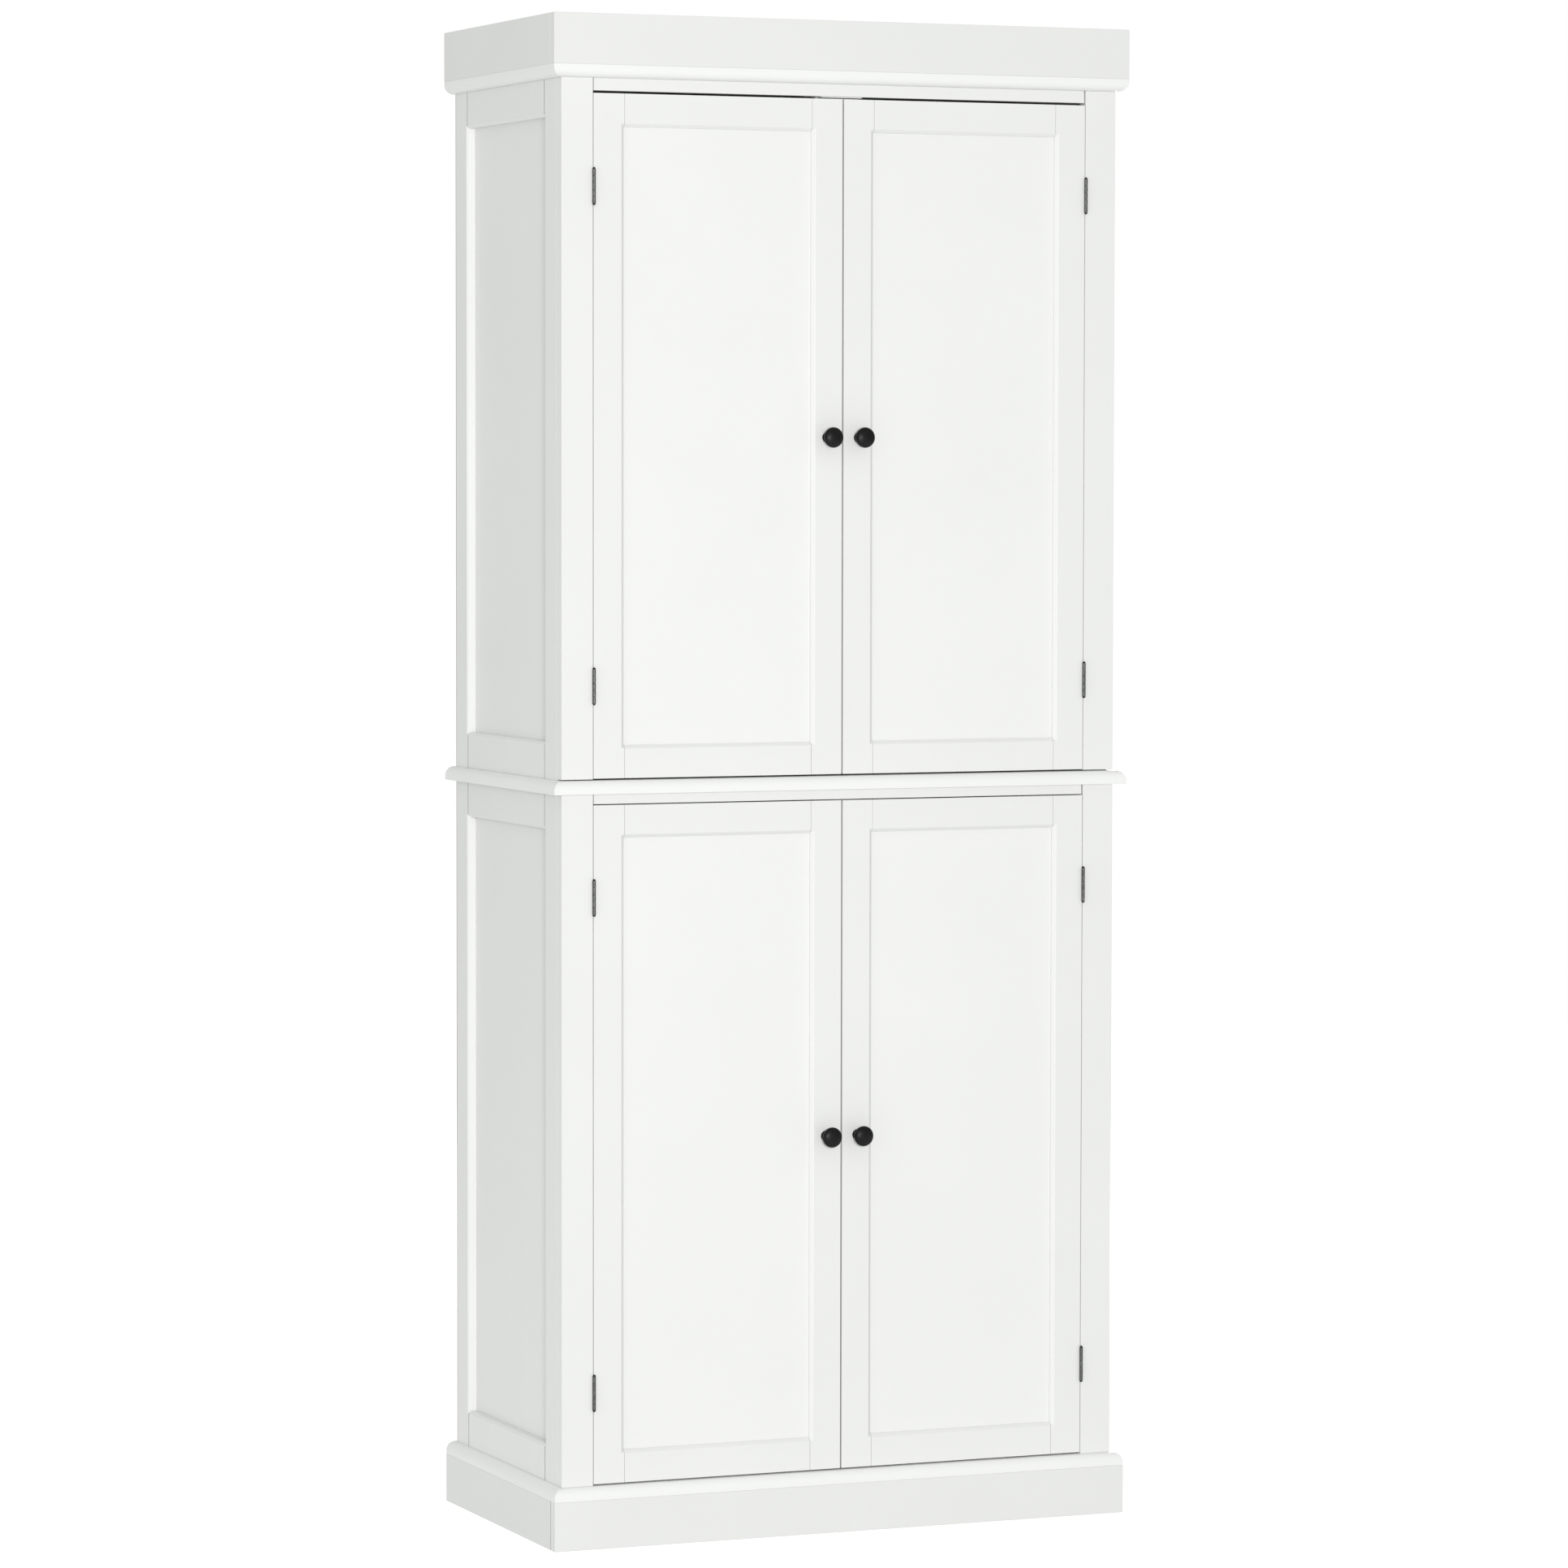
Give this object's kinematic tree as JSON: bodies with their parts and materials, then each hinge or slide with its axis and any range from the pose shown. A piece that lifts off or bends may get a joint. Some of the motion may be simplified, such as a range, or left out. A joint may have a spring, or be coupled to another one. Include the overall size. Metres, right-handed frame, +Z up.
{
  "type": "pantry cabinet",
  "caption": "Tall free-standing pantry cabinet with framed doors and round knobs, in two sections on a plinth, with a waist board and a crown.",
  "frame": {"origin": "on the floor under the middle of the box that holds the cabinet and its knobs", "axes": "+Z up, -Y out of the front, +X to the right as seen from the front"},
  "size_m": [0.762, 0.415, 1.858],
  "materials": {
    "white_paint": "satin white paint on fibreboard",
    "back_board": "matt white face on thin hardboard",
    "raw_wood": "unpainted wood",
    "black_metal": "satin black paint",
    "hinge_steel": "dark grey plated steel",
    "zinc_steel": "zinc-plated steel",
    "white_plastic": "moulded white plastic",
    "joint_filler": "dark grey filler",
    "magnet": "dark ferrite"
  },
  "bodies": {
    "carcass": {"plinth_front": "white_paint", "plinth_sides": "white_paint", "plinth_back": "white_paint", "corner_blocks": "raw_wood", "base_board": "white_paint", "lower_front_stiles": "white_paint", "lower_left_side_frame": "white_paint", "lower_right_side_frame": "white_paint", "lower_left_side_panel": "white_paint", "lower_right_side_panel": "white_paint", "lower_top_rails": "white_paint", "lower_back_panel": "back_board", "waist_board": "white_paint", "upper_front_stiles": "white_paint", "upper_left_side_frame": "white_paint", "upper_right_side_frame": "white_paint", "upper_left_side_panel": "white_paint", "upper_right_side_panel": "white_paint", "upper_top_rails": "white_paint", "upper_back_panel": "back_board", "joint_filler": "joint_filler", "crown_board": "white_paint", "frieze_front": "white_paint", "frieze_sides": "white_paint", "frieze_back": "white_paint", "shelf_pins": "zinc_steel", "magnetic_catches": "white_plastic", "catch_magnets": "magnet", "hinge_frame_leaves": "hinge_steel", "hinge_pins": "black_metal", "carcass_screws": "zinc_steel", "back_panel_nails": "zinc_steel", "dowels": "raw_wood"},
    "lower_left_door": {"lower_left_door_frame": "white_paint", "lower_left_door_panel": "white_paint", "lower_left_knob": "black_metal", "lower_left_hinge_leaves": "hinge_steel", "lower_left_strike_plate": "zinc_steel", "lower_left_door_screws": "zinc_steel"},
    "lower_right_door": {"lower_right_door_frame": "white_paint", "lower_right_door_panel": "white_paint", "lower_right_knob": "black_metal", "lower_right_hinge_leaves": "hinge_steel", "lower_right_strike_plate": "zinc_steel", "lower_right_door_screws": "zinc_steel"},
    "upper_left_door": {"upper_left_door_frame": "white_paint", "upper_left_door_panel": "white_paint", "upper_left_knob": "black_metal", "upper_left_hinge_leaves": "hinge_steel", "upper_left_strike_plate": "zinc_steel", "upper_left_door_screws": "zinc_steel"},
    "upper_right_door": {"upper_right_door_frame": "white_paint", "upper_right_door_panel": "white_paint", "upper_right_knob": "black_metal", "upper_right_hinge_leaves": "hinge_steel", "upper_right_strike_plate": "zinc_steel", "upper_right_door_screws": "zinc_steel"},
    "lower_shelf": {"lower_shelf": "white_paint"},
    "middle_shelf": {"middle_shelf": "white_paint"},
    "top_shelf": {"top_shelf": "white_paint"}
  },
  "joints": [
    {"name": "lower_left_door_hinge", "type": "hinge", "parent": "carcass", "child": "lower_left_door", "pos_m": [-0.3266, -0.18285, 0.4915], "axis": [0, 0, -1], "range_deg": [0, 175]},
    {"name": "lower_right_door_hinge", "type": "hinge", "parent": "carcass", "child": "lower_right_door", "pos_m": [0.3266, -0.18285, 0.4915], "axis": [0, 0, 1], "range_deg": [0, 175]},
    {"name": "upper_left_door_hinge", "type": "hinge", "parent": "carcass", "child": "upper_left_door", "pos_m": [-0.3266, -0.18285, 1.3505], "axis": [0, 0, -1], "range_deg": [0, 175]},
    {"name": "upper_right_door_hinge", "type": "hinge", "parent": "carcass", "child": "upper_right_door", "pos_m": [0.3266, -0.18285, 1.3505], "axis": [0, 0, 1], "range_deg": [0, 175]},
    {"name": "lower_shelf_lift", "type": "slide", "parent": "carcass", "child": "lower_shelf", "axis": [0, 0, 1], "range_m": [0, 0.03]},
    {"name": "middle_shelf_lift", "type": "slide", "parent": "carcass", "child": "middle_shelf", "axis": [0, 0, 1], "range_m": [0, 0.03]},
    {"name": "top_shelf_lift", "type": "slide", "parent": "carcass", "child": "top_shelf", "axis": [0, 0, 1], "range_m": [0, 0.03]}
  ]
}
